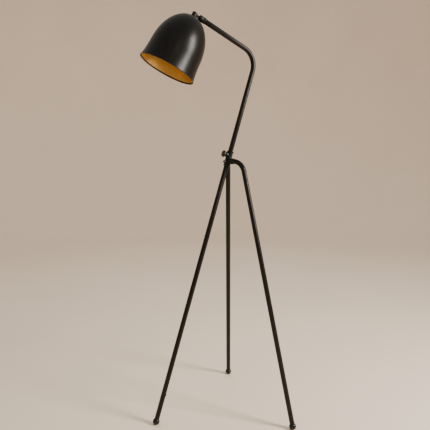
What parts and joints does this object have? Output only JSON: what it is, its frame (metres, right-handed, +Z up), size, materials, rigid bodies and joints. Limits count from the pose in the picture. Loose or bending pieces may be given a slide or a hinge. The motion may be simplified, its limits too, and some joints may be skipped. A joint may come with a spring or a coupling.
{
  "type": "tripod floor lamp",
  "caption": "Free-standing tripod floor lamp: slanting main tube, bent rear legs, telescoping mast with a bent arm, and a bell shade on a swivelling, tilting fork.",
  "frame": {"origin": "on the floor, under the middle of the whole lamp", "axes": "+Z up, +Y towards the back, away from the front foot and the shade; +X is the lamp's side on the right when looking along +Y"},
  "size_m": [0.5188, 0.4644, 1.4605],
  "materials": {
    "black_paint": "satin black powder coat on steel",
    "shade_paint": "spun aluminium, satin black outside and gold paint inside",
    "gloss_black": "gloss black enamel on steel",
    "dark_steel": "blackened screw steel",
    "bright_steel": "zinc-plated steel",
    "brass": "plain brass",
    "nylon": "natural nylon",
    "phenolic": "moulded black phenolic",
    "rubber": "black flex sheath and grommet rubber",
    "opal_glass": "opal white bulb glass"
  },
  "bodies": {
    "stand": {"main_tube": "black_paint", "hub_collar": "black_paint", "tube_screw": "dark_steel", "cord_grommet": "rubber", "stand_flex": "rubber", "clamp_boss": "black_paint", "right_leg_socket": "black_paint", "right_leg": "black_paint", "left_leg_socket": "black_paint", "left_leg": "black_paint", "front_foot": "gloss_black", "front_foot_stud": "bright_steel", "front_foot_insert": "bright_steel", "right_foot": "gloss_black", "right_foot_stud": "bright_steel", "right_foot_insert": "bright_steel", "left_foot": "gloss_black", "left_foot_stud": "bright_steel", "left_foot_insert": "bright_steel"},
    "clamp_pad": {"clamp_pad": "brass"},
    "clamp_knob": {"clamp_screw": "dark_steel", "thumb_knob": "gloss_black"},
    "guide": {"guide_bush": "nylon"},
    "mast": {"stem_and_arm_tube": "black_paint", "spigot_tube": "bright_steel", "arm_ferrule": "black_paint", "mast_flex": "rubber"},
    "knuckle": {"fork": "black_paint", "swivel_washer": "bright_steel", "swivel_nut": "bright_steel", "pivot_screw": "dark_steel", "pivot_nut": "dark_steel", "right_friction_washer": "nylon", "left_friction_washer": "nylon"},
    "head": {"tongue": "black_paint", "shade_cap": "black_paint", "shade": "shade_paint", "nipple": "bright_steel", "shade_washer": "bright_steel", "lock_nut": "bright_steel", "head_flex": "rubber", "lampholder_cover": "phenolic", "lampholder_barrel": "phenolic", "lampholder_shell": "brass", "lampholder_contact": "brass", "lampholder_ring": "phenolic", "bulb_contact": "brass", "bulb_cap": "brass", "bulb_glass": "opal_glass"}
  },
  "joints": [
    {"name": "clamp_travel", "type": "slide", "parent": "stand", "child": "clamp_pad", "axis": [0, -0.9553, 0.2957], "range_m": [0, 0.0015]},
    {"name": "knob_turn", "type": "hinge", "parent": "clamp_pad", "child": "clamp_knob", "pos_m": [0, 0.08946, 0.97267], "axis": [0, -0.9553, 0.2957], "range_deg": [0, 541]},
    {"name": "height_slide", "type": "slide", "parent": "stand", "child": "guide", "axis": [0, 0.2957, 0.9553], "range_m": [0, 0.18]},
    {"name": "mast_swivel", "type": "hinge", "parent": "guide", "child": "mast", "pos_m": [0, 0.08399, 0.955], "axis": [0, 0.2957, 0.9553], "range_deg": [-170, 170]},
    {"name": "head_swivel", "type": "hinge", "parent": "mast", "child": "knuckle", "pos_m": [0, -0.04643, 1.45077], "axis": [0, -0.9011, 0.4337], "range_deg": [-160, 170]},
    {"name": "head_tilt", "type": "hinge", "parent": "knuckle", "child": "head", "pos_m": [0, -0.0212, 1.43862], "axis": [0.9956, -0.0408, -0.0848], "range_deg": [-90, 32]}
  ],
  "couplings": [
    {"joint": "knob_turn", "follows": "clamp_travel", "rad_per_m": 6283.2}
  ]
}
